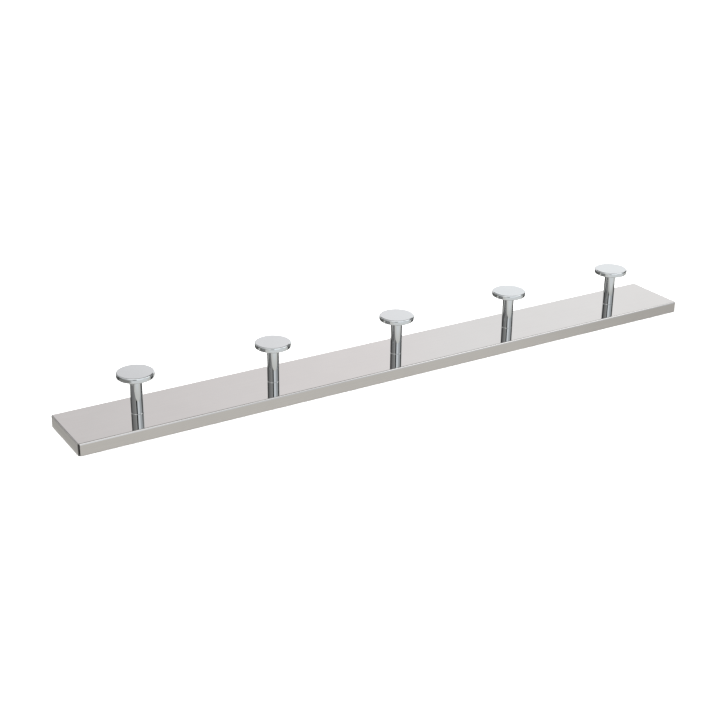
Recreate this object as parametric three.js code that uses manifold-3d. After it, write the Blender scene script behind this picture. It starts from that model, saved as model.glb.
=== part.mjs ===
// A wall hook rack: a shallow folded steel tray with five round-headed pegs, hung on two hidden wall plates.
// Millimetres. The rack lies on its back: +X runs along it and +Z points out of the wall that it hangs on.
// When it hangs, -Y is up and the grub screws in the +Y side are underneath.
// The origin is the middle of the wall plane behind the rack.

import * as THREE from 'three';
import { mergeVertices } from 'three/addons/utils/BufferGeometryUtils.js';
import Module from 'manifold-3d';

const wasm = await Module();
wasm.setup();

// ---------------------------------------------------------------------------------------------------------
// Driving dimensions

// Tray: one sheet folded back on all four sides, open towards the wall.
const TRAY_LENGTH = 600;
const TRAY_WIDTH = 60;
const TRAY_DEPTH = 10;
const SHEET = 1;
const BEND_RADIUS = 1.3; // outside radius of the tray's folds
const CORNER_GAP = BEND_RADIUS; // each side stops this far short of the corner, so the folded corners are open

// Pegs: evenly spaced, with half a pitch left at each end.
const PEG_COUNT = 5;
const PEG_PITCH = TRAY_LENGTH / PEG_COUNT;
const PEG_PROJECTION = 35; // from the tray's face to the front of the disc
const STEM_RADIUS = 5;
const STEM_FLARE = 1.25; // radius of the fillet under the disc
const STEM_EDGE = 0.3; // chamfer at the stem's foot
const DISC_RADIUS = 15;
const DISC_THICKNESS = 4.5;
const DISC_FRONT_ROUND = 1.2;
const DISC_BACK_ROUND = 1.2;
const SPIGOT_RADIUS = 3;
const SPIGOT_LENGTH = 2.5;

// Fasteners: M5 screws hold the pegs, M4 grub screws lock the tray on its wall plates.
const CLEARANCE = 0.3; // around a screw or spigot in its hole
const M5_RADIUS = 2.5;
const M5_LENGTH = 12;
const M5_HEAD_RADIUS = 4.75;
const M5_HEAD_HEIGHT = 3.6;
const TAPPED_DEPTH = 11; // into the foot of each stem
const PLAIN_WASHER_RADIUS = 5;
const PLAIN_WASHER_THICKNESS = 1;
const SPRING_WASHER_RADIUS = 4.4;
const SPRING_WASHER_THICKNESS = 1.3;
const SPRING_WASHER_SPLIT = 0.22; // half the angle of the split, in radians
const M4_RADIUS = 2;
const M4_LENGTH = 5.8;
const M4_SOCKET = 2; // across the flats
const GRUB_HEIGHT = 4.6; // of the grub screws' axis above the wall

// Wall fixing: two bent plates on the wall, and two clips spot-welded inside the tray.
const WALL_PLATE_SPACING = 3 * PEG_PITCH; // each plate lies midway between the two outer pegs of its end
const WALL_PLATE_LENGTH = 60;
const WALL_PLATE_SHEET = 2;
const WALL_PLATE_TAB_RISE = 3.6; // how far the tab is stepped out from the base
const LIP_LENGTH = 24;
const SLOT_LENGTH = 12;
const SLOT_WIDTH = 5.5;
const SLOT_SPACING = 36;
const SLOT_OFFSET = 5;
const CLIP_LENGTH = 30;
const CLIP_SHEET = 1.5;
const CLIP_CLEARANCE = 0.3; // between a clip and the tray's upper side

// How finely round shapes are stepped.
const BEND_STEPS = 4;
const FILLET_STEPS = 2;
const DISC_SIDES = 36;
const STEM_SIDES = 24;
const SCREW_SIDES = 18;
const ARC_SEGMENTS = SCREW_SIDES / 2; // a drawn arc takes two steps for each of these
const WELD = 1e-4; // points closer than this are one point

// ---------------------------------------------------------------------------------------------------------
// Materials

const metal = (color, roughness) => new THREE.MeshStandardMaterial({ color, roughness, metalness: 1 });
const polishedSteel = metal(0xc9c6c4, 0.16);
const chrome = metal(0xd6d9dc, 0.05);
const zincPlate = metal(0xa9adb0, 0.38);
const plainSteel = metal(0x9a9c9e, 0.3);
const blackSteel = metal(0x37393c, 0.45);

// ---------------------------------------------------------------------------------------------------------
// Solids

function toSolid(geometry) {
  const bare = geometry.clone();
  bare.deleteAttribute('normal');
  bare.deleteAttribute('uv');
  const merged = mergeVertices(bare, WELD);
  return new wasm.Manifold(new wasm.Mesh({
    numProp: 3,
    vertProperties: merged.attributes.position.array,
    triVerts: Uint32Array.from(merged.index.array),
  }));
}

function toGeometry(solid) {
  const { vertProperties, triVerts } = solid.getMesh();
  const geometry = new THREE.BufferGeometry();
  geometry.setAttribute('position', new THREE.BufferAttribute(vertProperties, 3));
  geometry.setIndex(new THREE.BufferAttribute(triVerts, 1));
  geometry.computeVertexNormals();
  return geometry;
}

const cutAway = (body, cuts) => cuts.reduce((rest, cut) => rest.subtract(toSolid(cut)), toSolid(body));

// Turns a section drawn in (y, z) and extruded along the shape's own z so that it runs along X, centred.
const alongX = new THREE.Matrix4().makeBasis(
  new THREE.Vector3(0, 1, 0),
  new THREE.Vector3(0, 0, 1),
  new THREE.Vector3(1, 0, 0),
);

function runAlongX(section, length) {
  const geometry = new THREE.ExtrudeGeometry(section, {
    depth: length,
    bevelEnabled: false,
    curveSegments: BEND_STEPS / 2,
  });
  return geometry.applyMatrix4(alongX).translate(-length / 2, 0, 0);
}

// A solid of revolution about Z. The outline is [radius, height] points from the axis, round and back to it.
function turned(outline, sides) {
  const points = outline.map(([radius, height]) => new THREE.Vector2(radius, height));
  return new THREE.LatheGeometry(points, sides).rotateX(Math.PI / 2);
}

// Points of a quarter round between two angles, for a turned outline.
function quarter(centreRadius, centreHeight, radius, from, to) {
  return Array.from({ length: FILLET_STEPS + 1 }, (_, step) => {
    const angle = from + (to - from) * step / FILLET_STEPS;
    return [centreRadius + radius * Math.cos(angle), centreHeight + radius * Math.sin(angle)];
  });
}

const rod = (radius, length, sides) => new THREE.CylinderGeometry(radius, radius, length, sides);
const rodAlongZ = (radius, length, sides) => rod(radius, length, sides).rotateX(Math.PI / 2);

// The outline of bent strip: it follows straight runs that meet at right angles, with rounded bends.
function bentStrip(corners, thickness, innerRadius) {
  const radius = innerRadius + thickness / 2;
  const left = [];
  const right = [];
  const add = (point, heading) => {
    const side = new THREE.Vector2(-heading.y, heading.x).multiplyScalar(thickness / 2);
    left.push(point.clone().add(side));
    right.unshift(point.clone().sub(side));
  };
  const points = corners.map(([y, z]) => new THREE.Vector2(y, z));
  points.forEach((point, i) => {
    const before = points[i - 1];
    const after = points[i + 1];
    if (!before || !after) {
      const heading = before ? point.clone().sub(before) : after.clone().sub(point);
      add(point, heading.normalize());
      return;
    }
    const into = point.clone().sub(before).normalize();
    const out = after.clone().sub(point).normalize();
    const centre = point.clone().addScaledVector(into, -radius).addScaledVector(out, radius);
    for (let step = 0; step <= BEND_STEPS; step += 1) {
      const angle = Math.PI / 2 * step / BEND_STEPS;
      const onBend = centre.clone()
        .addScaledVector(out, -radius * Math.cos(angle))
        .addScaledVector(into, radius * Math.sin(angle));
      add(onBend, into.clone().multiplyScalar(Math.cos(angle)).addScaledVector(out, Math.sin(angle)));
    }
  });
  return new THREE.Shape([...left, ...right]);
}

// ---------------------------------------------------------------------------------------------------------
// Tray

const TRAY_INSIDE = TRAY_DEPTH - SHEET; // height of the sheet's inner surface above the wall

// One folded side with its bend, its outer face at -reach in Y, lapping a little way into the flat face.
function foldedSide(run, reach) {
  const lap = BEND_RADIUS;
  const bendCentre = [-reach + BEND_RADIUS, TRAY_DEPTH - BEND_RADIUS];
  const section = new THREE.Shape();
  section.moveTo(-reach, 0);
  section.lineTo(-reach, bendCentre[1]);
  section.absarc(...bendCentre, BEND_RADIUS, Math.PI, Math.PI / 2, true);
  section.lineTo(bendCentre[0] + lap, TRAY_DEPTH);
  section.lineTo(bendCentre[0] + lap, TRAY_INSIDE);
  section.absarc(...bendCentre, BEND_RADIUS - SHEET, Math.PI / 2, Math.PI, false);
  section.lineTo(-reach + SHEET, 0);
  return runAlongX(section, run - 2 * CORNER_GAP);
}

function faceTray(pegPlaces, platePlaces) {
  const flatLength = TRAY_LENGTH - 2 * BEND_RADIUS;
  const flatWidth = TRAY_WIDTH - 2 * BEND_RADIUS;
  const face = new THREE.BoxGeometry(flatLength, flatWidth, SHEET).translate(0, 0, TRAY_DEPTH - SHEET / 2);
  const sides = [
    foldedSide(TRAY_LENGTH, TRAY_WIDTH / 2),
    foldedSide(TRAY_LENGTH, TRAY_WIDTH / 2).rotateZ(Math.PI),
    foldedSide(TRAY_WIDTH, TRAY_LENGTH / 2).rotateZ(Math.PI / 2),
    foldedSide(TRAY_WIDTH, TRAY_LENGTH / 2).rotateZ(-Math.PI / 2),
  ];
  const folded = sides.reduce((solid, side) => solid.add(toSolid(side)), toSolid(face));
  const through = 4 * SHEET;
  const holes = [
    ...pegPlaces.map((x) => rodAlongZ(M5_RADIUS + CLEARANCE, through, SCREW_SIDES)
      .translate(x, 0, TRAY_DEPTH - SHEET / 2)),
    ...platePlaces.map((x) => rod(M4_RADIUS + CLEARANCE, through, SCREW_SIDES)
      .translate(x, (TRAY_WIDTH - SHEET) / 2, GRUB_HEIGHT)),
  ];
  return toGeometry(holes.reduce((solid, hole) => solid.subtract(toSolid(hole)), folded));
}

// ---------------------------------------------------------------------------------------------------------
// Pegs. Each piece is drawn about the peg's axis, with height 0 at the foot of the stem.

const STEM_LENGTH = PEG_PROJECTION - DISC_THICKNESS;

function stem() {
  return turned([
    [0, TAPPED_DEPTH],
    [M5_RADIUS + CLEARANCE, TAPPED_DEPTH],
    [M5_RADIUS + CLEARANCE, 0],
    [STEM_RADIUS - STEM_EDGE, 0],
    [STEM_RADIUS, STEM_EDGE],
    ...quarter(STEM_RADIUS + STEM_FLARE, STEM_LENGTH - STEM_FLARE, STEM_FLARE, Math.PI, Math.PI / 2),
    [SPIGOT_RADIUS, STEM_LENGTH],
    [SPIGOT_RADIUS, STEM_LENGTH + SPIGOT_LENGTH],
    [0, STEM_LENGTH + SPIGOT_LENGTH],
  ], STEM_SIDES);
}

function disc() {
  const boreRadius = SPIGOT_RADIUS + CLEARANCE;
  const boreDepth = SPIGOT_LENGTH + CLEARANCE;
  return turned([
    [0, boreDepth],
    [boreRadius, boreDepth],
    [boreRadius, 0],
    ...quarter(DISC_RADIUS - DISC_BACK_ROUND, DISC_BACK_ROUND, DISC_BACK_ROUND, -Math.PI / 2, 0),
    ...quarter(DISC_RADIUS - DISC_FRONT_ROUND, DISC_THICKNESS - DISC_FRONT_ROUND, DISC_FRONT_ROUND,
      0, Math.PI / 2),
    [0, DISC_THICKNESS],
  ], DISC_SIDES).translate(0, 0, STEM_LENGTH);
}

// A pan-head screw with a cross recess, its head towards the wall and height 0 under its head.
function pegScrew() {
  const edge = 1.2;
  const crown = 0.5;
  const tip = 0.6;
  const body = turned([
    [0, -M5_HEAD_HEIGHT],
    [M5_HEAD_RADIUS / 2, -M5_HEAD_HEIGHT + crown / 4],
    [M5_HEAD_RADIUS - edge, -M5_HEAD_HEIGHT + crown],
    [M5_HEAD_RADIUS - edge / 4, -M5_HEAD_HEIGHT + crown + edge],
    [M5_HEAD_RADIUS, 0],
    [M5_RADIUS, 0],
    [M5_RADIUS, M5_LENGTH - tip],
    [M5_RADIUS - tip, M5_LENGTH],
    [0, M5_LENGTH],
  ], SCREW_SIDES);
  const recessReach = 2.3;
  const recessWidth = 1.2;
  const recessDepth = 2.4;
  const arms = [
    new THREE.BoxGeometry(2 * recessReach, recessWidth, 2 * recessDepth),
    new THREE.BoxGeometry(recessWidth, 2 * recessReach, 2 * recessDepth),
  ];
  return toGeometry(cutAway(body, arms.map((arm) => arm.translate(0, 0, -M5_HEAD_HEIGHT))));
}

function plainWasher() {
  const outline = new THREE.Shape().absarc(0, 0, PLAIN_WASHER_RADIUS, 0, 2 * Math.PI);
  outline.holes.push(new THREE.Path().absarc(0, 0, M5_RADIUS + CLEARANCE, 0, 2 * Math.PI));
  return new THREE.ExtrudeGeometry(outline, {
    depth: PLAIN_WASHER_THICKNESS,
    bevelEnabled: false,
    curveSegments: ARC_SEGMENTS,
  });
}

function springWasher() {
  const from = SPRING_WASHER_SPLIT;
  const to = 2 * Math.PI - SPRING_WASHER_SPLIT;
  const outline = new THREE.Shape();
  outline.absarc(0, 0, SPRING_WASHER_RADIUS, from, to, false);
  outline.absarc(0, 0, M5_RADIUS + CLEARANCE, to, from, true);
  return new THREE.ExtrudeGeometry(outline, {
    depth: SPRING_WASHER_THICKNESS,
    bevelEnabled: false,
    curveSegments: ARC_SEGMENTS,
  });
}

// ---------------------------------------------------------------------------------------------------------
// Wall fixing. Each piece is drawn about the middle of its wall plate.

function wallPlate() {
  const base = WALL_PLATE_SHEET / 2;
  const tab = base + WALL_PLATE_TAB_RISE;
  const tabTip = -26.5;
  const step = -16;
  const lip = 27.8;
  const lipTop = 8;
  const innerRadius = 0.5;
  const outline = bentStrip(
    [[tabTip, tab], [step, tab], [step, base], [lip, base], [lip, lipTop]],
    WALL_PLATE_SHEET,
    innerRadius,
  );
  const besideLip = (WALL_PLATE_LENGTH - LIP_LENGTH) / 2;
  const trim = (side) => new THREE.BoxGeometry(besideLip, TRAY_WIDTH, TRAY_WIDTH)
    .translate(side * (LIP_LENGTH + besideLip) / 2, lip - 3 + TRAY_WIDTH / 2, 0);
  const slot = (side) => {
    const half = (SLOT_LENGTH - SLOT_WIDTH) / 2;
    const round = new THREE.Shape();
    round.absarc(half, 0, SLOT_WIDTH / 2, -Math.PI / 2, Math.PI / 2, false);
    round.absarc(-half, 0, SLOT_WIDTH / 2, Math.PI / 2, 3 * Math.PI / 2, false);
    const settings = { depth: 2 * WALL_PLATE_SHEET, bevelEnabled: false, curveSegments: Math.ceil(ARC_SEGMENTS / 2) };
    return new THREE.ExtrudeGeometry(round, settings)
      .translate(side * SLOT_SPACING / 2, SLOT_OFFSET, -WALL_PLATE_SHEET / 2);
  };
  const tapped = rod(M4_RADIUS + CLEARANCE, 2 * WALL_PLATE_SHEET, SCREW_SIDES).translate(0, lip, GRUB_HEIGHT);
  const cuts = [trim(-1), trim(1), slot(-1), slot(1), tapped];
  return toGeometry(cutAway(runAlongX(outline, WALL_PLATE_LENGTH), cuts));
}

function hookClip() {
  const back = -TRAY_WIDTH / 2 + SHEET + CLIP_CLEARANCE + CLIP_SHEET / 2;
  const welded = TRAY_INSIDE - CLIP_SHEET / 2;
  const tongue = 1.95;
  const tongueTip = -20;
  const weldedEnd = -14;
  const innerRadius = 0.5;
  const outline = bentStrip(
    [[tongueTip, tongue], [back, tongue], [back, welded], [weldedEnd, welded]],
    CLIP_SHEET,
    innerRadius,
  );
  return runAlongX(outline, CLIP_LENGTH);
}

function grubScrew() {
  const edge = 0.4;
  const socketDepth = 2.2;
  const body = turned([
    [0, 0],
    [M4_RADIUS - edge, 0],
    [M4_RADIUS, edge],
    [M4_RADIUS, M4_LENGTH - edge],
    [M4_RADIUS - edge, M4_LENGTH],
    [0, M4_LENGTH],
  ], SCREW_SIDES);
  const socketRadius = M4_SOCKET / 2 / Math.cos(Math.PI / 6);
  const socket = rodAlongZ(socketRadius, 2 * socketDepth, 6).translate(0, 0, M4_LENGTH);
  const recess = 0.2; // of the screw's outer end inside the tray's lower side
  return toGeometry(cutAway(body, [socket]))
    .rotateX(-Math.PI / 2)
    .translate(0, TRAY_WIDTH / 2 - recess - M4_LENGTH, GRUB_HEIGHT);
}

// ---------------------------------------------------------------------------------------------------------
// Assembly

const rack = new THREE.Group();

function place(parent, name, geometry, material, height = 0) {
  const mesh = new THREE.Mesh(geometry, material.clone());
  mesh.name = name;
  mesh.position.z = height;
  parent.add(mesh);
}

const pegPlaces = Array.from({ length: PEG_COUNT }, (_, i) => (i - (PEG_COUNT - 1) / 2) * PEG_PITCH);
const platePlaces = [-WALL_PLATE_SPACING / 2, WALL_PLATE_SPACING / 2];

place(rack, 'face_tray', faceTray(pegPlaces, platePlaces), polishedSteel);

const plainWasherHeight = TRAY_INSIDE - PLAIN_WASHER_THICKNESS;
const springWasherHeight = plainWasherHeight - SPRING_WASHER_THICKNESS;

pegPlaces.forEach((x, i) => {
  const peg = new THREE.Group();
  peg.position.x = x;
  rack.add(peg);
  const name = `peg_${i + 1}`;
  place(peg, `${name}_stem`, stem(), chrome, TRAY_DEPTH);
  place(peg, `${name}_disc`, disc(), chrome, TRAY_DEPTH);
  place(peg, `${name}_plain_washer`, plainWasher(), plainSteel, plainWasherHeight);
  place(peg, `${name}_spring_washer`, springWasher(), plainSteel, springWasherHeight);
  place(peg, `${name}_screw`, pegScrew(), plainSteel, springWasherHeight);
});

platePlaces.forEach((x, i) => {
  const fixing = new THREE.Group();
  fixing.position.x = x;
  rack.add(fixing);
  const side = ['left', 'right'][i];
  place(fixing, `wall_plate_${side}`, wallPlate(), zincPlate);
  place(fixing, `hook_clip_${side}`, hookClip(), plainSteel);
  place(fixing, `grub_screw_${side}`, grubScrew(), blackSteel);
});

export default rack;
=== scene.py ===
"""A wall hook rack on a white sweep: fine shapes, finishes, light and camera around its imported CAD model.

Everything is in metres in the model's own frame. The rack lies on its back: +X runs along it, +Z points out
of the wall that it hangs on, and -Y is up when it hangs.
"""

import math

import bmesh
import bpy
from mathutils import Matrix, Vector


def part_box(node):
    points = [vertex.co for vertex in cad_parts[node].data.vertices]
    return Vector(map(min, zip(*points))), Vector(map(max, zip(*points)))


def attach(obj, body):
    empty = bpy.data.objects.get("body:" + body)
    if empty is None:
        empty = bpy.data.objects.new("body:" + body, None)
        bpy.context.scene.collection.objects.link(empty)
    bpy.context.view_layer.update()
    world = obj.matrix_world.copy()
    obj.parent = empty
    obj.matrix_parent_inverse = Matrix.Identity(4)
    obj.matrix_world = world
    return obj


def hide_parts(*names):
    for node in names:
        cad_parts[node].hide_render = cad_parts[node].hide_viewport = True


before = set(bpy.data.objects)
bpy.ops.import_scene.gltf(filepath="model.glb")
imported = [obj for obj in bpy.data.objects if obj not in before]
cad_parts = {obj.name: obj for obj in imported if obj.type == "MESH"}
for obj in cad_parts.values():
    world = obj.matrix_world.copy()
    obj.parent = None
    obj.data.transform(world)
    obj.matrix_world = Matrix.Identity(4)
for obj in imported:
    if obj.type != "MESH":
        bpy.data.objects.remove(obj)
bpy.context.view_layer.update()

MM = 0.001
BODY = "root"

# ---------------------------------------------------------------------------------------------------------
# Sizes that the CAD boxes don't give

SHEET = 1.0 * MM
BEND_RADIUS = 1.3 * MM  # outside radius of the tray's folds, and the width of its open corners
CLEARANCE = 0.3 * MM

STEM_RADIUS = 5 * MM
STEM_FLARE = 1.25 * MM  # radius of the fillet under the disc
FOOT_HEIGHT = 0.5 * MM  # over this much height the stem narrows towards the tray
FOOT_TAPER = 0.1 * MM
SPIGOT_RADIUS = 3 * MM
SPIGOT_LENGTH = 2.5 * MM
TAPPED_DEPTH = 11 * MM
DRILL_POINT = 1.5 * MM  # the cone at the end of the tapped hole
DISC_FRONT_ROUND = 1.2 * MM
DISC_BACK_ROUND = 1.2 * MM
DISC_CROWN = 0.15 * MM  # how much lower the face is at its edge than in the middle

M5_RADIUS = 2.5 * MM
M5_PITCH = 0.8 * MM
M4_RADIUS = 2.0 * MM
M4_PITCH = 0.7 * MM
M4_SOCKET = 2 * MM  # across the flats
SOCKET_DEPTH = 1.9 * MM
SOCKET_POINT = 0.3 * MM  # the cone below the socket's flats
RECESS_REACH = 2.3 * MM  # of the peg screws' cross recess, from its middle to the end of an arm
RECESS_WIDTH = 1.15 * MM
RECESS_DEPTH = 2.3 * MM
HEAD_ROUND = 1.2 * MM  # of the peg screws' pan head
HEAD_CROWN = 0.35 * MM  # how far the head's top falls before its edge turns down
HEAD_SIDE = 2.4 * MM  # how far from its top the head's side starts, before rounding
GRUB_HEIGHT = 4.6 * MM  # of the grub screws' axis above the wall
SPLIT_ANGLE = 0.22  # half of the spring washer's split, in radians
SPLIT_SLANT = 0.16  # how far the split turns between the washer's two faces

PEG_COUNT = 5
SIDES = ("left", "right")

PLATE_SHEET = 2.0 * MM
CLIP_SHEET = 1.5 * MM
TAB_RISE = 3.6 * MM  # how far the wall plates' tab is stepped out from their base
TAB_STEP = -16 * MM  # where it steps out
CLIP_REACH = -20 * MM  # where the clips' short side ends
WELD_PLACE = Vector((8 * MM, -17 * MM))  # of the clips' weld dimples, from the clip's middle
WELD_DIMPLE = [(0, 0.18 * MM), (1.4 * MM, 0.15 * MM), (3 * MM, -0.15 * MM)]  # (radius, depth) points
INNER_BEND = 0.5 * MM  # inside radius of the plates' and clips' bends
SLOT_LENGTH = 12 * MM
SLOT_WIDTH = 5.5 * MM
SLOT_SPACING = 36 * MM
SLOT_OFFSET = 5 * MM
LIP_LENGTH = 24 * MM

TRAY_EDGE = 0.12 * MM  # how wide each part's sharp edges are broken
PLATE_EDGE = 0.2 * MM
CLIP_EDGE = 0.15 * MM

# ---------------------------------------------------------------------------------------------------------
# Camera, at the photograph's viewing angle

CAMERA_AZIMUTH = math.radians(-31.61)
CAMERA_ELEVATION = math.radians(23.42)
CAMERA_ROLL = math.radians(0.68)
CAMERA_DISTANCE = 1.1512
CAMERA_LENS = 67.3
AIM_OFFSET = Vector((-35.8 * MM, 1.0 * MM, 0))  # from the middle of the tray's face

tray_low, tray_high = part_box("face_tray")
tray_middle = (tray_low + tray_high) / 2
FACE_HEIGHT = tray_high.z


def add_camera():
    aim = Vector((tray_middle.x, tray_middle.y, FACE_HEIGHT)) + AIM_OFFSET
    back = Vector((
        math.sin(CAMERA_AZIMUTH) * math.cos(CAMERA_ELEVATION),
        -math.cos(CAMERA_AZIMUTH) * math.cos(CAMERA_ELEVATION),
        math.sin(CAMERA_ELEVATION),
    ))
    right = Vector((0, 0, 1)).cross(back).normalized()
    up = back.cross(right)
    turned = Matrix((right, up, back)).transposed() @ Matrix.Rotation(CAMERA_ROLL, 3, "Z")
    data = bpy.data.cameras.new("camera")
    data.lens = CAMERA_LENS
    data.sensor_width = 36
    data.clip_start = 0.01
    data.clip_end = 60
    camera = bpy.data.objects.new("camera", data)
    camera.matrix_world = Matrix.Translation(aim + back * CAMERA_DISTANCE) @ turned.to_4x4()
    bpy.context.scene.collection.objects.link(camera)
    bpy.context.scene.camera = camera


# ---------------------------------------------------------------------------------------------------------
# Shader graphs


class Graph:
    """Short calls for the shader nodes that the materials use. Each returns a node's output socket."""

    def __init__(self, tree):
        self.tree = tree
        tree.nodes.clear()

    def add(self, kind, inputs=None, output=0, **settings):
        node = self.tree.nodes.new(kind)
        for name, value in settings.items():
            setattr(node, name, value)
        for name, value in (inputs or {}).items():
            if isinstance(value, bpy.types.NodeSocket):
                self.tree.links.new(value, node.inputs[name])
            else:
                node.inputs[name].default_value = value
        return node.outputs[output] if node.outputs else node

    def math(self, operation, first, second=0.0):
        return self.add("ShaderNodeMath", {0: first, 1: second}, operation=operation)

    def span(self, value, low, high, start=0.0, end=1.0, kind="SMOOTHSTEP"):
        """value, mapped from low..high to start..end."""
        inputs = {"Value": value, "From Min": low, "From Max": high, "To Min": start, "To Max": end}
        return self.add("ShaderNodeMapRange", inputs, interpolation_type=kind)

    def ramp(self, fac, stops):
        node = self.tree.nodes.new("ShaderNodeValToRGB")
        self.tree.links.new(fac, node.inputs["Fac"])
        ramp = node.color_ramp
        ramp.interpolation = "LINEAR"
        while len(ramp.elements) > 1:
            ramp.elements.remove(ramp.elements[-1])
        for i, (place, colour) in enumerate(stops):
            element = ramp.elements[0] if i == 0 else ramp.elements.new(place)
            element.position = place
            element.color = (*colour, 1)
        return node.outputs["Color"]

    def place(self, scale=(1, 1, 1)):
        """The point's own place on the object, in metres, times scale."""
        point = self.add("ShaderNodeTexCoord", output="Object")
        return self.add("ShaderNodeMapping", {"Vector": point, "Scale": scale})

    def coordinates(self):
        """The point's own X, Y and Z on the object, in metres."""
        point = self.add("ShaderNodeTexCoord", output="Object")
        return self.add("ShaderNodeSeparateXYZ", {"Vector": point}).node.outputs

    def noise(self, vector, scale, detail, roughness):
        inputs = {"Vector": vector, "Scale": scale, "Detail": detail, "Roughness": roughness}
        return self.add("ShaderNodeTexNoise", inputs, output="Fac")

    def mix(self, fac, first, second):
        node = self.tree.nodes.new("ShaderNodeMix")
        node.data_type = "RGBA"
        for name, value in (("Factor_Float", fac), ("A_Color", first), ("B_Color", second)):
            socket = next(s for s in node.inputs if s.identifier == name)
            if isinstance(value, bpy.types.NodeSocket):
                self.tree.links.new(value, socket)
            else:
                socket.default_value = value if isinstance(value, float) else (*value, 1)
        return next(s for s in node.outputs if s.identifier == "Result_Color")


def material(name):
    made = bpy.data.materials.new(name)
    made.use_nodes = True
    return made, Graph(made.node_tree)


def metal(name, dark, light, gloss, grain, speck=0.0, bump=0.0):
    """A bare or plated metal. Its colour and gloss vary along a grain, given as the noise's scale along X, Y
    and Z, and in broad faint smears. gloss is the lowest and highest roughness. bump is the height in metres
    of the relief in the grain, and speck is the scale of the cells added to it."""
    made, graph = material(name)
    lines = graph.noise(graph.place(grain), 1.0, 3.0, 0.6)
    smears = graph.noise(graph.place(), SMEAR_SCALE, 3.0, 0.55)
    tone = graph.math("ADD", graph.math("MULTIPLY", lines, 0.6), graph.math("MULTIPLY", smears, 0.4))
    inputs = {
        "Base Color": graph.mix(graph.span(tone, 0.3, 0.7, kind="LINEAR"), dark, light),
        "Metallic": 1.0,
        "Roughness": graph.span(tone, 0.25, 0.75, *gloss, "LINEAR"),
    }
    if bump:
        height = lines
        if speck:
            cells = graph.noise(graph.place(), speck, 2.0, 0.6)
            height = graph.math("ADD", lines, cells)
        relief = {"Strength": 1.0, "Distance": bump, "Height": height}
        inputs["Normal"] = graph.add("ShaderNodeBump", relief)
    shader = graph.add("ShaderNodeBsdfPrincipled", inputs)
    graph.add("ShaderNodeOutputMaterial", {"Surface": shader})
    return made


SMEAR_SCALE = 38.0
LENGTHWAYS = (12, 1500, 1500)  # polishing lines along the rack
ALONG_PEG = (900, 900, 60)
FINE = (700, 700, 700)

tray_steel = metal(
    "tray_steel", (0.612, 0.598, 0.586), (0.645, 0.630, 0.618), (0.015, 0.045), LENGTHWAYS, bump=0.00000025,
)
# The sheet's cut edges: rougher steel whose colour is painted dark, painted shade that keeps the slits at
# the tray's open corners dark.
cut_steel_painted_shade = metal(
    "cut_steel_painted_shade", (0.11, 0.108, 0.105), (0.17, 0.166, 0.16), (0.42, 0.6), FINE, bump=0.000006,
)
mill_steel = metal(
    "mill_steel", (0.50, 0.495, 0.485), (0.60, 0.595, 0.585), (0.20, 0.32), LENGTHWAYS, bump=0.000001,
)
peg_chrome = metal(
    "peg_chrome", (0.645, 0.67, 0.68), (0.685, 0.71, 0.72), (0.010, 0.03), ALONG_PEG,
)
fixing_zinc = metal(
    "fixing_zinc", (0.36, 0.38, 0.385), (0.52, 0.53, 0.52), (0.28, 0.46), FINE, speck=2600, bump=0.000004,
)
clip_steel = metal(
    "clip_steel", (0.42, 0.415, 0.405), (0.52, 0.515, 0.50), (0.22, 0.38), LENGTHWAYS, bump=0.000002,
)
fastener_steel = metal(
    "fastener_steel", (0.40, 0.405, 0.41), (0.52, 0.525, 0.53), (0.16, 0.30), FINE, bump=0.000001,
)
grub_steel = metal(
    "grub_steel", (0.035, 0.036, 0.04), (0.07, 0.07, 0.075), (0.35, 0.5), FINE, bump=0.000002,
)

# ---------------------------------------------------------------------------------------------------------
# Mesh helpers

SLIVER = 0.002 * MM  # edges shorter than this are merged away
SAME = 1e-7  # radii closer than this are the same
SUPPORT = 0.06 * MM  # a loop this close beside each rounded corner keeps the flat beside it flat
SHARP = math.radians(38)


def rounded(corners, steps=6):
    """The outline through (u, v, radius) corners, each corner rounded to its radius."""
    points = []
    for i, (u, v, radius) in enumerate(corners):
        here = Vector((u, v))
        if not radius:
            points.append(here)
            continue
        before = (Vector(corners[i - 1][:2]) - here).normalized()
        after = (Vector(corners[(i + 1) % len(corners)][:2]) - here).normalized()
        half = before.angle(after) / 2
        centre = here + (before + after).normalized() * radius / math.sin(half)
        start = here + before * radius / math.tan(half)
        end = here + after * radius / math.tan(half)
        points.append(start + before * SUPPORT)
        sweep = (start - centre).angle_signed(end - centre)
        for step in range(steps + 1):
            arm = (start - centre).copy()
            arm.rotate(Matrix.Rotation(-sweep * step / steps, 2))
            points.append(centre + arm)
        points.append(end + after * SUPPORT)
    return points


def lathe(profile, sides, closed=False, ridge=None):
    """A solid of revolution about Z. ridge(angle, radius, height), if given, says each point's radius."""
    bm = bmesh.new()
    rings = []
    for radius, height in profile:
        if radius < SAME:
            rings.append([bm.verts.new((0, 0, height))])
            continue
        ring = []
        for i in range(sides):
            angle = 2 * math.pi * i / sides
            reach = ridge(angle, radius, height) if ridge else radius
            ring.append(bm.verts.new((reach * math.cos(angle), reach * math.sin(angle), height)))
        rings.append(ring)
    pairs = list(zip(rings, rings[1:]))
    if closed:
        pairs.append((rings[-1], rings[0]))
    for lower, upper in pairs:
        if len(lower) == len(upper) == 1:
            continue
        for i in range(sides):
            j = (i + 1) % sides
            corners = [
                lower[i % len(lower)], lower[j % len(lower)], upper[j % len(upper)], upper[i % len(upper)],
            ]
            bm.faces.new(list(dict.fromkeys(corners)))
    bmesh.ops.recalc_face_normals(bm, faces=bm.faces)
    return bm


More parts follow.
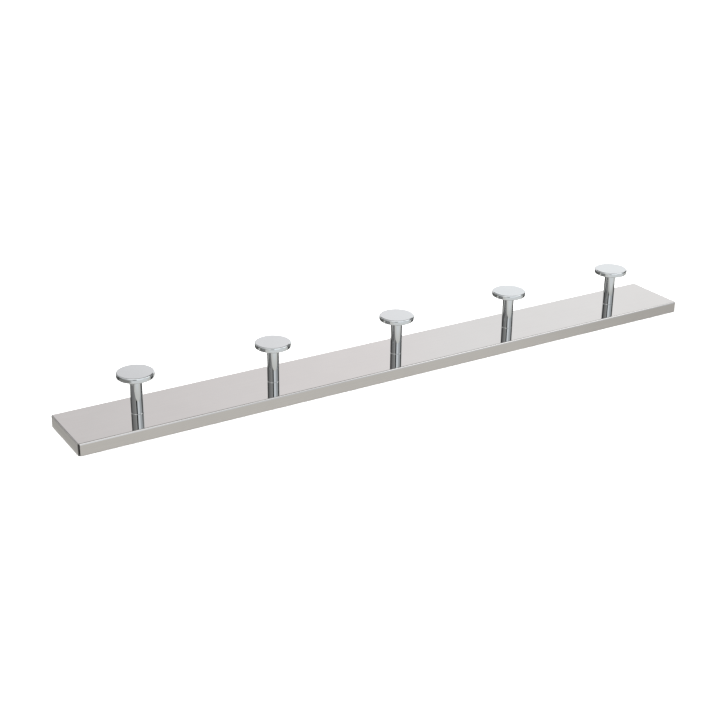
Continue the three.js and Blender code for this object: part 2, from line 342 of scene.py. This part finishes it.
def prism(outline, length, axis="X"):
    """The outline, a list of (u, v) points, extruded along X or Z, half of length to each side of 0."""
    bm = bmesh.new()
    ends = [
        [bm.verts.new((along, u, v) if axis == "X" else (u, v, along)) for u, v in outline]
        for along in (-length / 2, length / 2)
    ]
    bm.faces.new(ends[0])
    bm.faces.new(list(reversed(ends[1])))
    count = len(outline)
    for i in range(count):
        j = (i + 1) % count
        bm.faces.new([ends[0][i], ends[1][i], ends[1][j], ends[0][j]])
    bmesh.ops.recalc_face_normals(bm, faces=bm.faces)
    return bm


def rod(radius, reach):
    """A plain rod about Z, from -reach to reach, to cut a hole with."""
    return lathe([(0, -reach), (radius, -reach), (radius, reach), (0, reach)], 48)


def moved(bm, matrix):
    bmesh.ops.transform(bm, matrix=matrix, verts=bm.verts)
    return bm


def to_object(bm, name):
    mesh = bpy.data.meshes.new(name)
    bm.to_mesh(mesh)
    bm.free()
    made = bpy.data.objects.new(name, mesh)
    bpy.context.scene.collection.objects.link(made)
    return made


def apply_modifiers(target):
    """Applies the target's modifiers, and merges the slivers that they leave."""
    bpy.context.view_layer.update()
    graph = bpy.context.evaluated_depsgraph_get()
    fresh = bpy.data.meshes.new_from_object(target.evaluated_get(graph))
    target.modifiers.clear()
    target.data = fresh
    bm = bmesh.new()
    bm.from_mesh(fresh)
    bmesh.ops.remove_doubles(bm, verts=bm.verts, dist=SLIVER)
    bmesh.ops.dissolve_degenerate(bm, edges=bm.edges, dist=SLIVER)
    bm.to_mesh(fresh)
    bm.free()


def cut(target, cutters):
    """Takes the cutters, a list of bmeshes, out of the target object."""
    tools = [to_object(bm, f"{target.name}_cutter_{i}") for i, bm in enumerate(cutters)]
    for tool in tools:
        step = target.modifiers.new(tool.name, "BOOLEAN")
        step.operation = "DIFFERENCE"
        step.solver = "EXACT"
        step.object = tool
    apply_modifiers(target)
    for tool in tools:
        bpy.data.objects.remove(tool)


def soften(target, width):
    """Breaks the sharp edges by width, so that they catch the light."""
    step = target.modifiers.new("edges", "BEVEL")
    step.width = width
    step.segments = 2
    step.limit_method = "ANGLE"
    step.angle_limit = SHARP
    step.use_clamp_overlap = True
    apply_modifiers(target)


def piece(target, node, slot, *finishes):
    """Makes the target the shown piece for a CAD node: smooth, riding on the rack, and with these finishes
    unless it has its own already."""
    target.name = f"{node}_shape"
    target.data.name = target.name
    if not target.data.materials:
        for finish in finishes:
            target.data.materials.append(finish)
    for face in target.data.polygons:
        face.use_smooth = True
    step = target.modifiers.new("normals", "WEIGHTED_NORMAL")
    step.mode = "FACE_AREA"
    step.weight = 100
    step.keep_sharp = True
    target.data.set_sharp_from_angle(angle=SHARP)
    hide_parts(node)
    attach(target, BODY)


def thread(major, pitch, low, high):
    """A ridge for lathe(): a screw thread between two heights, running out over half a pitch at each end.
    The crests and roots are flat."""
    depth = 0.6 * pitch

    def ridge(angle, radius, height):
        if abs(radius - major) > SAME or not low < height < high:
            return radius
        turn = (height / pitch - angle / (2 * math.pi)) % 1
        flank = abs(2 * turn - 1)
        fade = min(1, (height - low) / (pitch / 2), (high - height) / (pitch / 2))
        return radius - depth * fade * min(1, max(0, 1.25 * flank - 0.12))

    return ridge


# ---------------------------------------------------------------------------------------------------------
# Tray


def tray():
    """One sheet: a flat face and four folded sides with open corners, thickened inwards."""
    bm = bmesh.new()
    bend_steps = 10
    half_x = tray_high.x - BEND_RADIUS
    half_y = tray_high.y - BEND_RADIUS
    drop = FACE_HEIGHT - BEND_RADIUS

    def corner(x, y):
        return bm.verts.new((x, y, FACE_HEIGHT))

    inset = 0.4 * MM  # of the rows of faces along the folds and edges, which keep the flats flat
    grid_x = [-half_x, -half_x + inset, half_x - inset, half_x]
    grid_y = [-half_y, -half_y + inset, half_y - inset, half_y]
    face = [[corner(x, y) for y in grid_y] for x in grid_x]
    for i in range(3):
        for j in range(3):
            bm.faces.new([face[i][j], face[i + 1][j], face[i + 1][j + 1], face[i][j + 1]])

    def fold(edge, out):
        """Bends the strip beyond an edge of the face, a row of vertices, down to the wall."""
        row = edge
        for step in range(1, bend_steps + 4):
            if step <= bend_steps:
                angle = math.pi / 2 * step / bend_steps
                shift = out * BEND_RADIUS * math.sin(angle)
                height = drop + BEND_RADIUS * math.cos(angle)
            else:
                shift = out * BEND_RADIUS
                height = (drop - inset, inset, tray_low.z)[step - bend_steps - 1]
            fresh = [bm.verts.new((v.co.x + shift.x, v.co.y + shift.y, height)) for v in edge]
            for i in range(len(edge) - 1):
                bm.faces.new([row[i], row[i + 1], fresh[i + 1], fresh[i]])
            row = fresh

    fold([column[0] for column in face], Vector((0, -1)))
    fold([column[-1] for column in face], Vector((0, 1)))
    fold(face[0], Vector((-1, 0)))
    fold(face[-1], Vector((1, 0)))
    bmesh.ops.recalc_face_normals(bm, faces=bm.faces)
    if sum(f.normal.z * f.calc_area() for f in bm.faces) < 0:
        bmesh.ops.reverse_faces(bm, faces=bm.faces)
    made = to_object(bm, "tray")
    thick = made.modifiers.new("sheet", "SOLIDIFY")
    thick.thickness = SHEET
    thick.offset = -1
    thick.use_even_offset = True
    # The cut edges take the second finish, painted dark as shade, and the inside of the sheet takes the
    # third.
    thick.material_offset_rim = 1
    thick.material_offset = 2
    for finish in (tray_steel, cut_steel_painted_shade, mill_steel):
        made.data.materials.append(finish)
    apply_modifiers(made)

    holes = [at_peg(rod(M5_RADIUS + CLEARANCE, SHEET), i, FACE_HEIGHT - SHEET / 2) for i in range(PEG_COUNT)]
    holes += [at_grub(rod(M4_RADIUS + CLEARANCE, SHEET), side, tray_high.y - SHEET / 2) for side in SIDES]
    cut(made, holes)
    soften(made, TRAY_EDGE)
    piece(made, "face_tray", "tray_steel")


# ---------------------------------------------------------------------------------------------------------
# Pegs


def peg_axis(i):
    low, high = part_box(f"peg_{i + 1}_stem")
    return (low + high) / 2


def at_peg(bm, i, height=0.0):
    axis = peg_axis(i)
    return moved(bm, Matrix.Translation((axis.x, axis.y, height)))


def stem(i):
    node = f"peg_{i + 1}_stem"
    low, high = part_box(node)
    foot = low.z
    shoulder = high.z - SPIGOT_LENGTH
    flare = STEM_RADIUS + STEM_FLARE
    profile = rounded([
        (0, foot + TAPPED_DEPTH + DRILL_POINT, 0),
        (M5_RADIUS + CLEARANCE, foot + TAPPED_DEPTH, 0.1 * MM),
        (M5_RADIUS + CLEARANCE, foot, 0.1 * MM),
        (STEM_RADIUS - FOOT_TAPER, foot, 0.05 * MM),
        (STEM_RADIUS, foot + FOOT_HEIGHT, 0.05 * MM),
        (STEM_RADIUS, shoulder, 0),
    ])[:-1]
    flare_steps = 10
    for step in range(flare_steps + 1):
        angle = math.pi / 2 * step / flare_steps
        drop = STEM_FLARE * (1 - math.sin(angle))
        profile.append(Vector((flare - STEM_FLARE * math.cos(angle), shoulder - drop)))
    profile += rounded([
        (flare, shoulder, 0),
        (SPIGOT_RADIUS, shoulder, 0.1 * MM),
        (SPIGOT_RADIUS, high.z, 0.2 * MM),
        (0, high.z, 0),
    ])[1:]
    piece(to_object(at_peg(lathe(profile, 96), i), node), node, "peg_chrome", peg_chrome)


def disc(i):
    node = f"peg_{i + 1}_disc"
    low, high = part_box(node)
    radius = (high.y - low.y) / 2
    bore = SPIGOT_RADIUS + CLEARANCE
    profile = rounded([
        (0, low.z + SPIGOT_LENGTH + CLEARANCE, 0),
        (bore, low.z + SPIGOT_LENGTH + CLEARANCE, 0.1 * MM),
        (bore, low.z, 0.1 * MM),
        (radius, low.z, DISC_BACK_ROUND),
        (radius, high.z - DISC_CROWN, DISC_FRONT_ROUND),
        (0, high.z - DISC_CROWN, 0),
    ], steps=12)[:-1]
    flat = radius - DISC_FRONT_ROUND
    crown_steps = 8
    for step in range(1, crown_steps + 1):
        reach = 1 - step / crown_steps
        profile.append(Vector((flat * reach, high.z - DISC_CROWN * reach ** 2)))
    piece(to_object(at_peg(lathe(profile, 144), i), node), node, "peg_chrome", peg_chrome)


def threaded(low, high, radius, pitch):
    """Profile points up a threaded shank, close enough together to carry its thread."""
    count = int((high - low) / (pitch / 8))
    return [Vector((radius, low + (high - low) * step / count)) for step in range(count + 1)]


def cross_recess(reach, width, depth):
    """A cross that tapers upwards from height 0, to cut a cross recess with."""
    bm = bmesh.new()
    half = width / 2
    outline = []
    for quarter in range(4):
        turn = Matrix.Rotation(math.pi / 2 * quarter, 2)
        outline += [turn @ Vector(point) for point in ((half, half), (half, reach), (-half, reach))]
    levels = ((-depth / 4, 1.1), (0, 1.0), (depth, 0.42))
    rings = [
        [bm.verts.new((p.x * scale, p.y * scale, height)) for p in outline]
        for height, scale in levels
    ]
    for lower, upper in zip(rings, rings[1:]):
        for k in range(len(outline)):
            n = (k + 1) % len(outline)
            bm.faces.new([lower[k], lower[n], upper[n], upper[k]])
    bm.faces.new(rings[0])
    bm.faces.new(rings[-1])
    bmesh.ops.recalc_face_normals(bm, faces=bm.faces)
    return bm


def peg_screw(i):
    node = f"peg_{i + 1}_screw"
    low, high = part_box(node)
    head_radius = (high.y - low.y) / 2
    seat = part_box(f"peg_{i + 1}_spring_washer")[0].z
    thread_low = seat + 1 * MM
    thread_high = high.z - 0.5 * MM
    head = rounded([
        (0, low.z, 0),
        (head_radius * 0.72, low.z + HEAD_CROWN, HEAD_ROUND),
        (head_radius, low.z + HEAD_SIDE, HEAD_ROUND),
        (head_radius, seat, 0.15 * MM),
        (M5_RADIUS, seat, 0.1 * MM),
        (M5_RADIUS, thread_low, 0),
    ])[:-1]
    shank = threaded(thread_low, thread_high, M5_RADIUS, M5_PITCH)
    tip = [Vector((M5_RADIUS - 0.5 * MM, high.z)), Vector((0, high.z))]
    bm = lathe(head + shank + tip, 48, ridge=thread(M5_RADIUS, M5_PITCH, thread_low, thread_high))
    made = to_object(at_peg(bm, i), node)
    cut(made, [at_peg(cross_recess(RECESS_REACH, RECESS_WIDTH, RECESS_DEPTH), i, low.z)])
    piece(made, node, "fastener_steel", fastener_steel)


def plain_washer(i):
    node = f"peg_{i + 1}_plain_washer"
    low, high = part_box(node)
    inner = M5_RADIUS + CLEARANCE
    outer = (high.x - low.x) / 2
    profile = rounded([
        (inner, low.z, 0.08 * MM),
        (outer, low.z, 0.2 * MM),
        (outer, high.z, 0.08 * MM),
        (inner, high.z, 0.08 * MM),
    ], steps=4)
    bm = lathe(profile, 72, closed=True)
    piece(to_object(at_peg(bm, i), node), node, "fastener_steel", fastener_steel)


def spring_washer(i):
    """A split ring with slanted ends."""
    node = f"peg_{i + 1}_spring_washer"
    low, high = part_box(node)
    inner = M5_RADIUS + CLEARANCE
    outer = (high.y - low.y) / 2
    section = rounded([
        (inner, low.z, 0.1 * MM),
        (outer, low.z, 0.1 * MM),
        (outer, high.z, 0.1 * MM),
        (inner, high.z, 0.1 * MM),
    ], steps=3)
    bm = bmesh.new()
    rings = []
    count = 64
    for step in range(count + 1):
        ring = []
        for radius, height in section:
            lean = SPLIT_SLANT * ((height - low.z) / (high.z - low.z) - 0.5)
            angle = SPLIT_ANGLE + 2 * (math.pi - SPLIT_ANGLE) * step / count + lean
            ring.append(bm.verts.new((radius * math.cos(angle), radius * math.sin(angle), height)))
        rings.append(ring)
    for before, after in zip(rings, rings[1:]):
        for k in range(len(section)):
            n = (k + 1) % len(section)
            bm.faces.new([before[k], before[n], after[n], after[k]])
    bm.faces.new(rings[0])
    bm.faces.new(rings[-1])
    bmesh.ops.recalc_face_normals(bm, faces=bm.faces)
    piece(to_object(at_peg(bm, i), node), node, "fastener_steel", fastener_steel)


# ---------------------------------------------------------------------------------------------------------
# Wall fixing


def plate_middle(side):
    low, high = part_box(f"wall_plate_{side}")
    return (low.x + high.x) / 2


def at_grub(bm, side, y):
    """Turns a shape that was made about Z to lie along Y, on a grub screw's axis."""
    place = Matrix.Translation((plate_middle(side), y, GRUB_HEIGHT))
    return moved(bm, place @ Matrix.Rotation(math.pi / 2, 4, "X"))


def bent_strip(corners, thickness, inner_radius):
    """The outline of a strip bent along a centre line, whose straight runs meet at right angles."""
    line = [Vector(c) for c in corners]
    left, right = [], []
    for i, here in enumerate(line):
        into = (here - line[i - 1]).normalized() if i else None
        out = (line[i + 1] - here).normalized() if i + 1 < len(line) else None
        if into is None or out is None:
            heading = into or out
            side = Vector((-heading.y, heading.x)) * thickness / 2
            left.append((*(here + side), 0.15 * MM))
            right.append((*(here - side), 0.15 * MM))
            continue
        turn = into.x * out.y - into.y * out.x
        offset = (Vector((-into.y, into.x)) + Vector((-out.y, out.x))) * thickness / 2
        inside, outside = inner_radius, inner_radius + thickness
        left.append((*(here + offset), inside if turn > 0 else outside))
        right.append((*(here - offset), outside if turn > 0 else inside))
    return rounded(left + list(reversed(right)))


def slot_outline():
    """A wall plate's slot for its wall screw, with round ends, in (x, y) points about its middle."""
    end_radius = SLOT_WIDTH / 2
    end_steps = 16
    points = []
    for sign in (1, -1):
        for step in range(end_steps + 1):
            angle = math.pi * (step / end_steps - sign / 2)
            x = sign * (SLOT_LENGTH / 2 - end_radius) + end_radius * math.cos(angle)
            points.append((x, end_radius * math.sin(angle)))
    return points


def wall_plate(side):
    node = f"wall_plate_{side}"
    low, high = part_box(node)
    base = PLATE_SHEET / 2
    tab = base + TAB_RISE
    lip = high.y - PLATE_SHEET / 2
    outline = bent_strip(
        [(low.y, tab), (TAB_STEP, tab), (TAB_STEP, base), (lip, base), (lip, high.z)],
        PLATE_SHEET, INNER_BEND,
    )
    middle = plate_middle(side)
    made = to_object(moved(prism(outline, high.x - low.x), Matrix.Translation((middle, 0, 0))), node)
    beside = (high.x - low.x - LIP_LENGTH) / 2
    reach = 3 * MM + PLATE_SHEET
    notch = [(-beside, -reach), (beside, -reach), (beside, reach), (-beside, reach)]
    tools = []
    for sign in (-1, 1):
        place = (middle + sign * (LIP_LENGTH / 2 + beside), lip, 0)
        tools.append(moved(prism(notch, 40 * MM, "Z"), Matrix.Translation(place)))
        place = (middle + sign * SLOT_SPACING / 2, SLOT_OFFSET, base)
        tools.append(moved(prism(slot_outline(), 3 * PLATE_SHEET, "Z"), Matrix.Translation(place)))
    tools.append(at_grub(rod(M4_RADIUS + CLEARANCE, PLATE_SHEET), side, lip))
    cut(made, tools)
    soften(made, PLATE_EDGE)
    piece(made, node, "fixing_zinc", fixing_zinc)


def hook_clip(side):
    node = f"hook_clip_{side}"
    low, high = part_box(node)
    half = CLIP_SHEET / 2
    outline = bent_strip(
        [
            (CLIP_REACH, low.z + half), (low.y + half, low.z + half), (low.y + half, high.z - half),
            (high.y, high.z - half),
        ],
        CLIP_SHEET, INNER_BEND,
    )
    middle = plate_middle(side)
    made = to_object(moved(prism(outline, high.x - low.x), Matrix.Translation((middle, 0, 0))), node)
    dimple = WELD_DIMPLE + [(WELD_DIMPLE[-1][0], -1 * MM), (0, -1 * MM)]
    welds = []
    for sign in (-1, 1):
        place = (middle + sign * WELD_PLACE.x, WELD_PLACE.y, high.z - CLIP_SHEET)
        welds.append(moved(lathe(dimple, 32), Matrix.Translation(place)))
    cut(made, welds)
    soften(made, CLIP_EDGE)
    piece(made, node, "clip_steel", clip_steel)


def grub_screw(side):
    node = f"grub_screw_{side}"
    low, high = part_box(node)
    length = high.y - low.y
    thread_low = 0.4 * MM
    thread_high = length - 0.35 * MM
    profile = [Vector((0, 0.5 * MM)), Vector((0.9 * MM, 0)), Vector((M4_RADIUS - 0.4 * MM, 0))]
    profile += threaded(thread_low, thread_high, M4_RADIUS, M4_PITCH)
    profile += [Vector((M4_RADIUS - 0.35 * MM, length)), Vector((0, length))]
    ridge = thread(M4_RADIUS, M4_PITCH, thread_low, thread_high)
    made = to_object(lathe(profile, 48, ridge=ridge), node)
    corner = M4_SOCKET / math.sqrt(3)
    bottom = length - SOCKET_DEPTH
    above = length + 1 * MM
    socket = lathe([(0, bottom - SOCKET_POINT), (corner, bottom), (corner, above), (0, above)], 6)
    cut(made, [socket])
    place = Matrix.Translation((plate_middle(side), low.y, GRUB_HEIGHT))
    made.data.transform(place @ Matrix.Rotation(-math.pi / 2, 4, "X"))
    piece(made, node, "grub_steel", grub_steel)


# ---------------------------------------------------------------------------------------------------------
# Studio: a white sweep, and round it a light tent that shows only in the metal

FLOOR_REACH = 12
FLOOR_DROP = 0.3 * MM  # the sweep is this far below the rack, and the table twice as far
WORLD_STRENGTH = 2.6

TENT_RADIUS = 1.6
TENT_STRENGTH = 2.0
TABLE_REACH = 2
SOFTBOX_LOW = (-1.15, -0.6)
SOFTBOX_HIGH = (1.15, -0.05)
SOFTBOX_HEIGHT = 0.9

PINK = (1.0, 0.978, 0.988)
BLUE = (0.955, 1.0, 1.045)
PALE = (0.975, 0.978, 0.988)
GREY = (1.0, 1.0, 1.0)

# Brightness and tint round the tent, by degrees to the right of the side that faces the camera. The cards
# and flags stand before the wall. Behind the rack they leave it as it is.
BEHIND_LEFT = [(-180, 1.04, PINK), (-168, 0.96, PINK), (-157, 0.875, PINK), (-146, 0.84, PINK)]
BEHIND_RIGHT = [(148, 1.1, GREY), (165, 1.12, PALE), (173, 1.085, PALE), (180, 1.04, PINK)]
TENT_WALL = [
    *BEHIND_LEFT,
    (-120, 0.7, GREY), (-60, 0.75, GREY), (-15, 0.75, GREY),
    (10, 0.8, BLUE), (45, 0.76, BLUE), (95, 0.7, BLUE), (130, 0.55, GREY),
    *BEHIND_RIGHT,
]
TENT_CARDS = [
    *BEHIND_LEFT,
    (-138, 0.05, GREY), (-112, 0.05, GREY), (-98, 0.16, GREY), (-86, 0.25, GREY),
    (-62, 0.35, GREY), (-40, 0.40, GREY), (-18, 0.54, GREY), (-14, 0.54, GREY),
    (-11, 0.0, GREY), (6, 0.0, GREY),
    (9, 1.25, BLUE), (40, 1.22, BLUE), (52, 0.76, BLUE), (88, 0.74, BLUE),
    (96, 0.12, GREY), (138, 0.12, GREY),
    *BEHIND_RIGHT,
]


def flat_sheet(name, low, high, height):
    bm = bmesh.new()
    corners = ((low[0], low[1]), (high[0], low[1]), (high[0], high[1]), (low[0], high[1]))
    bm.faces.new([bm.verts.new((x, y, height)) for x, y in corners])
    return to_object(bm, name)


def seen_by(target, camera, reflections):
    """Says which rays see a stage piece. It casts no shadow."""
    target.visible_camera = camera
    target.visible_diffuse = False
    target.visible_glossy = reflections
    target.visible_transmission = False
    target.visible_shadow = False


def glow(target, made, graph, colour, strength):
    """Finishes a material that glows, and gives it to the target. Only reflections see it."""
    shader = graph.add("ShaderNodeEmission", {"Color": colour, "Strength": strength})
    graph.add("ShaderNodeOutputMaterial", {"Surface": shader})
    made.cycles.emission_sampling = "NONE"
    target.data.materials.append(made)
    seen_by(target, camera=False, reflections=True)


def add_floor():
    made, graph = material("floor")
    shader = graph.add("ShaderNodeBsdfDiffuse", {"Color": (0.86, 0.86, 0.86, 1), "Roughness": 0.0})
    graph.add("ShaderNodeOutputMaterial", {"Surface": shader})
    low = (-FLOOR_REACH, -FLOOR_REACH)
    high = (FLOOR_REACH, FLOOR_REACH)
    floor = flat_sheet("floor", low, high, tray_low.z - FLOOR_DROP)
    floor.data.materials.append(made)
    seen_by(floor, camera=True, reflections=False)


def add_tent():
    made, graph = material("tent")
    x, y, z = graph.coordinates()
    angle = graph.math("ARCTAN2", x, graph.math("MULTIPLY", y, -1.0))
    turn = graph.span(angle, -math.pi, math.pi, kind="LINEAR")
    rings = [
        graph.ramp(turn, [
            ((degrees + 180) / 360, tuple(value * part / TENT_STRENGTH for part in tint))
            for degrees, value, tint in ring
        ])
        for ring in (TENT_WALL, TENT_CARDS)
    ]
    height = graph.math("DIVIDE", z, TENT_RADIUS)
    # Behind the rack on the left, the cards are only a band between two heights.
    beside = graph.span(angle, -1.75, -1.9)
    below = graph.math("MULTIPLY", graph.span(height, 0.34, 0.31), beside)
    above = graph.math("MULTIPLY", graph.span(height, 0.44, 0.49), beside)
    clear = graph.math("MULTIPLY", graph.math("SUBTRACT", 1.0, below), graph.math("SUBTRACT", 1.0, above))
    cards = graph.math("MULTIPLY", clear, graph.span(height, 0.54, 0.47))
    wall = graph.mix(cards, *rings)
    # Behind the rack there is a dark gap above the wall, and over everything a grey ceiling.
    behind = graph.span(graph.math("ABSOLUTE", angle), 2.3, 2.6)
    gap = graph.math("MULTIPLY", graph.span(height, 0.50, 0.55), behind)
    wall = graph.mix(gap, wall, (0.04, 0.04, 0.04))
    wall = graph.mix(graph.span(height, 0.85, 0.93), wall, (0.37, 0.37, 0.37))
    bm = bmesh.new()
    bmesh.ops.create_uvsphere(bm, u_segments=96, v_segments=48, radius=TENT_RADIUS)
    tent = to_object(bm, "tent")
    tent.rotation_euler.z = CAMERA_AZIMUTH
    glow(tent, made, graph, wall, TENT_STRENGTH)


def add_softbox():
    """A strip light overhead, brighter to the right, that draws the bright line along the tray's fold."""
    made, graph = material("softbox")
    strength = graph.span(graph.coordinates()["X"], 0.35, 0.65, 1.5, 2.4)
    softbox = flat_sheet("softbox", SOFTBOX_LOW, SOFTBOX_HIGH, SOFTBOX_HEIGHT)
    glow(softbox, made, graph, (1.0, 1.0, 1.0, 1), strength)


def add_table_reflection():
    """A glowing card that only the metal sees, painting the lit table's reflection below it: pale, darker
    behind the rack and beyond its ends, and painted shade in its hollow.
    """
    made, graph = material("table_reflection")
    x, y, _ = graph.coordinates()
    near = graph.span(y, -0.09, -0.056)
    rightward = graph.span(x, 0.08, 0.3, 0.735, 0.6)
    past_left_end = graph.span(x, -0.303, -0.298, 0.66, 1.0)
    close = graph.math("MULTIPLY", rightward, past_left_end)
    strength = graph.add("ShaderNodeMix", {"Factor": near, "A": 0.86, "B": close}, data_type="FLOAT")
    behind = graph.span(y, 0.046, 0.075, 1.0, 0.19)
    far_left = graph.span(x, -0.34, -0.312, 0.55, 1.0)
    # Under the tray's hollow the card is black: painted shade for the dark inside of the tray.
    under_x = graph.math("LESS_THAN", graph.math("ABSOLUTE", x), tray_high.x - SHEET)
    under_y = graph.math("LESS_THAN", graph.math("ABSOLUTE", y), tray_high.y - SHEET)
    outside_painted_shade = graph.math("SUBTRACT", 1.0, graph.math("MULTIPLY", under_x, under_y))
    for share in (behind, far_left, outside_painted_shade):
        strength = graph.math("MULTIPLY", strength, share)
    colour = graph.mix(near, (0.985, 1.0, 1.0), (1.0, 0.985, 0.94))
    low = (-TABLE_REACH, -TABLE_REACH)
    high = (TABLE_REACH, TABLE_REACH)
    table_reflection = flat_sheet("table_reflection", low, high, tray_low.z - 2 * FLOOR_DROP)
    glow(table_reflection, made, graph, colour, strength)


def add_world():
    world = bpy.data.worlds.new("studio")
    world.use_nodes = True
    graph = Graph(world.node_tree)
    light = graph.add("ShaderNodeBackground", {"Color": (1, 1, 1, 1), "Strength": WORLD_STRENGTH})
    graph.add("ShaderNodeOutputWorld", {"Surface": light})
    bpy.context.scene.world = world
    bpy.context.scene.view_settings.view_transform = "Standard"


# ---------------------------------------------------------------------------------------------------------
# Scene

add_camera()
tray()
for peg in range(PEG_COUNT):
    stem(peg)
    disc(peg)
    plain_washer(peg)
    spring_washer(peg)
    peg_screw(peg)
for end in SIDES:
    wall_plate(end)
    hook_clip(end)
    grub_screw(end)
add_floor()
add_tent()
add_softbox()
add_table_reflection()
add_world()
